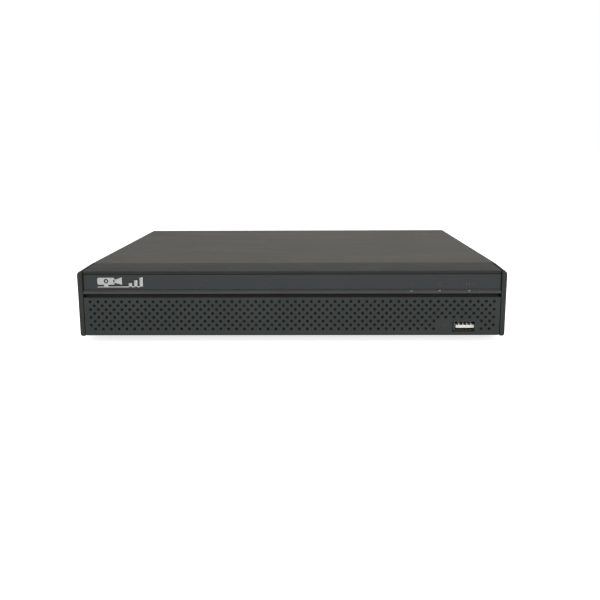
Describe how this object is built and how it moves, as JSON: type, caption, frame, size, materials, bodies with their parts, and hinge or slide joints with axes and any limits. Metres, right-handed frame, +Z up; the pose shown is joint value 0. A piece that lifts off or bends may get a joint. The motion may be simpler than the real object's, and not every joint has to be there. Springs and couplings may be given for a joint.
{
  "type": "digital video recorder",
  "caption": "Compact desktop digital video recorder for security cameras, with a visored front bezel, a perforated grille, a slide-off steel cover and rear sockets.",
  "frame": {"origin": "on the standing surface, under the centre of the recorder's bounding box, rear sockets included", "axes": "+X to the right seen from the front, +Y from the front to the rear, +Z up; the front faces -Y"},
  "size_m": [0.26, 0.236, 0.045],
  "materials": {
    "bezel_plastic": "fine moulded texture, charcoal",
    "fascia_gloss": "smooth gloss, blue-black",
    "emblem_silver": "satin silver",
    "light_guide": "frosted clear",
    "cover_paint": "fine-textured powder coat, warm dark grey",
    "zinc_steel": "zinc-plated sheet",
    "nickel": "bright nickel plating",
    "screw_steel": "nickel-plated steel",
    "foot_rubber": "black rubber",
    "board_green": "green solder mask",
    "board_blue": "blue solder mask",
    "chip_black": "moulded package",
    "aluminium": "satin cast and extruded aluminium",
    "platter_mirror": "polished disc",
    "socket_black": "black moulding",
    "socket_white": "off-white moulding",
    "socket_blue": "blue moulding",
    "socket_green": "green moulding",
    "socket_red": "red moulding",
    "cable_red": "red flat cable",
    "cable_grey": "grey ribbon cable"
  },
  "bodies": {
    "case": {"front_bezel": "bezel_plastic", "left_cheek": "bezel_plastic", "right_cheek": "bezel_plastic", "grille_panel": "bezel_plastic", "gloss_fascia": "fascia_gloss", "emblem": "emblem_silver", "status_light": "light_guide", "drive_light": "light_guide", "network_light": "light_guide", "chassis_pan": "zinc_steel", "front_usb_shell": "nickel", "rear_usb_shell": "nickel", "video_socket_shell": "nickel", "monitor_socket_shell": "nickel", "network_socket": "nickel", "camera_jack_1": "nickel", "camera_jack_2": "nickel", "camera_jack_3": "nickel", "camera_jack_4": "nickel", "ground_screw": "screw_steel", "drive_screw_1": "screw_steel", "drive_screw_2": "screw_steel", "drive_screw_3": "screw_steel", "drive_screw_4": "screw_steel", "clock_cell": "screw_steel", "drive_lid": "screw_steel", "foot_front_left": "foot_rubber", "foot_front_right": "foot_rubber", "foot_rear_left": "foot_rubber", "foot_rear_right": "foot_rubber", "front_board": "board_green", "main_board": "board_green", "drive_board": "board_blue", "processor": "chip_black", "memory_chip": "chip_black", "heat_sink": "aluminium", "drive_base": "aluminium", "power_jack": "socket_black", "video_socket_tongue": "socket_black", "clock_cell_holder": "socket_black", "buzzer": "socket_black", "fan_frame": "socket_black", "drive_power_cable": "socket_black", "front_usb_tongue": "socket_white", "rear_usb_tongue": "socket_white", "audio_in_jack": "socket_white", "monitor_socket_face": "socket_blue", "terminal_header": "socket_green", "audio_out_jack": "socket_red", "drive_data_cable": "cable_red", "front_ribbon_cable": "cable_grey"},
    "cover": {"top_cover": "cover_paint", "cover_screw_left": "screw_steel", "cover_screw_middle": "screw_steel", "cover_screw_right": "screw_steel"},
    "fan_wheel": {"fan_rotor": "socket_black"},
    "spindle": {"drive_platters": "platter_mirror"},
    "head_arm": {"drive_arm": "aluminium"},
    "pull_off_plug": {"terminal_plug": "socket_green"}
  },
  "joints": [
    {"name": "cover_slide", "type": "slide", "parent": "case", "child": "cover", "axis": [0, 1, 0], "range_m": [0, 0.15]},
    {"name": "fan_spin", "type": "hinge", "parent": "case", "child": "fan_wheel", "pos_m": [0.1213, -0.0305, 0.023], "axis": [1, 0, 0], "continuous": true},
    {"name": "platter_spin", "type": "hinge", "parent": "case", "child": "spindle", "pos_m": [-0.0729, -0.0309, 0.02], "axis": [0, 0, 1], "continuous": true},
    {"name": "drive_arm_swing", "type": "hinge", "parent": "case", "child": "head_arm", "pos_m": [-0.0209, -0.0589, 0.02], "axis": [0, 0, 1], "range_deg": [0, 34]},
    {"name": "terminal_plug_slide", "type": "slide", "parent": "case", "child": "pull_off_plug", "axis": [0, 1, 0], "range_m": [0, 0.009]}
  ]
}
